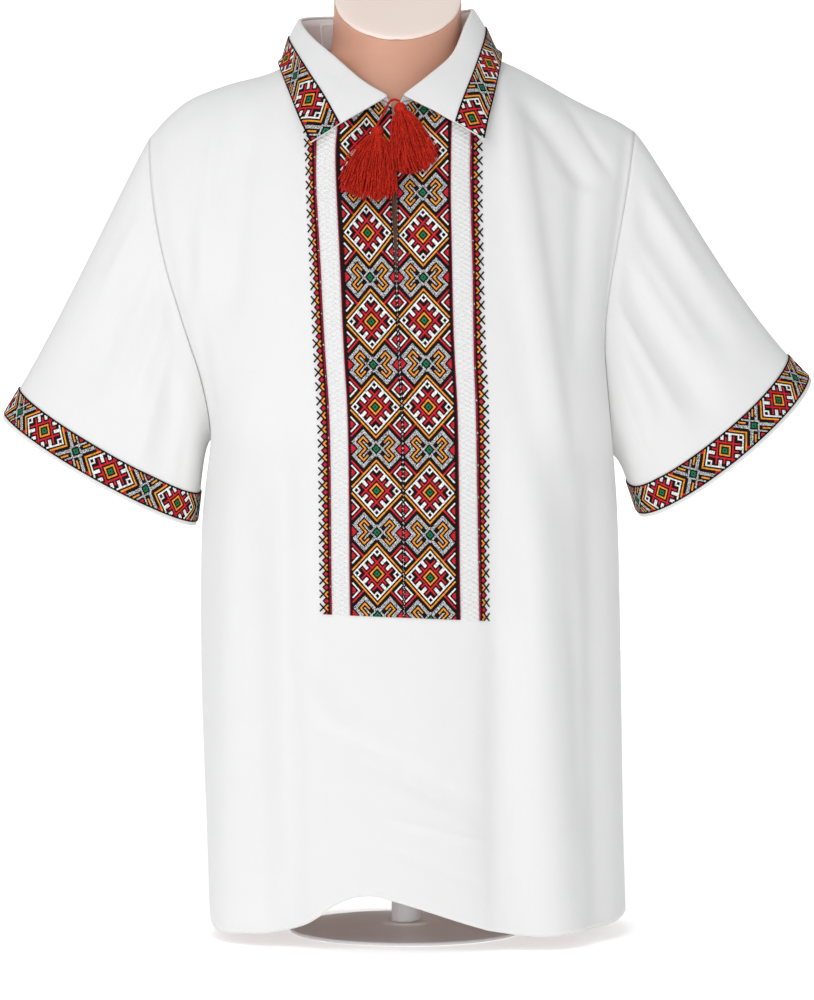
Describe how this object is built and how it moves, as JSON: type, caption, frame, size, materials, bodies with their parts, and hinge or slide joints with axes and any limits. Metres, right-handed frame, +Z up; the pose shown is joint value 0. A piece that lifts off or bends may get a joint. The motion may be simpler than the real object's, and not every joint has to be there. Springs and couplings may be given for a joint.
{
  "type": "vyshyvanka shirt on a torso dress form",
  "caption": "Short-sleeved white vyshyvanka with red, green, orange and black cross-stitch bands, folded collar, slit and tasselled tie, on a limbless torso form.",
  "frame": {"origin": "middle of the whole at floor level, under the form's post", "axes": "+Z up, the shirt's front faces -Y, the wearer's left side lies at +X"},
  "size_m": [0.76, 0.2859, 0.9168],
  "materials": {
    "cotton": "matte plain-weave cotton",
    "label_tape": "matte woven tape",
    "embroidery": "cross stitch in thread",
    "hemstitch": "white drawn-thread work",
    "red_yarn": "soft twisted yarn",
    "form_skin": "smooth satin",
    "form_cap": "smooth satin",
    "form_stand": "powder coat"
  },
  "bodies": {
    "root": {"front_panel": "cotton", "back_panel": "cotton", "sleeve_left": "cotton", "sleeve_right": "cotton", "collar_fall": "cotton", "collar_stand": "cotton", "neck_label": "label_tape", "placket_left": "embroidery", "placket_right": "embroidery", "edge_band_left": "embroidery", "edge_band_right": "embroidery", "cuff_band_left": "embroidery", "cuff_band_right": "embroidery", "collar_band": "embroidery", "hemstitch_left": "hemstitch", "hemstitch_right": "hemstitch", "tie_cord": "red_yarn", "tassel_upper": "red_yarn", "tassel_lower": "red_yarn", "torso_form": "form_skin", "neck_cap": "form_cap", "stand_post": "form_stand", "stand_base": "form_stand"}
  },
  "joints": []
}
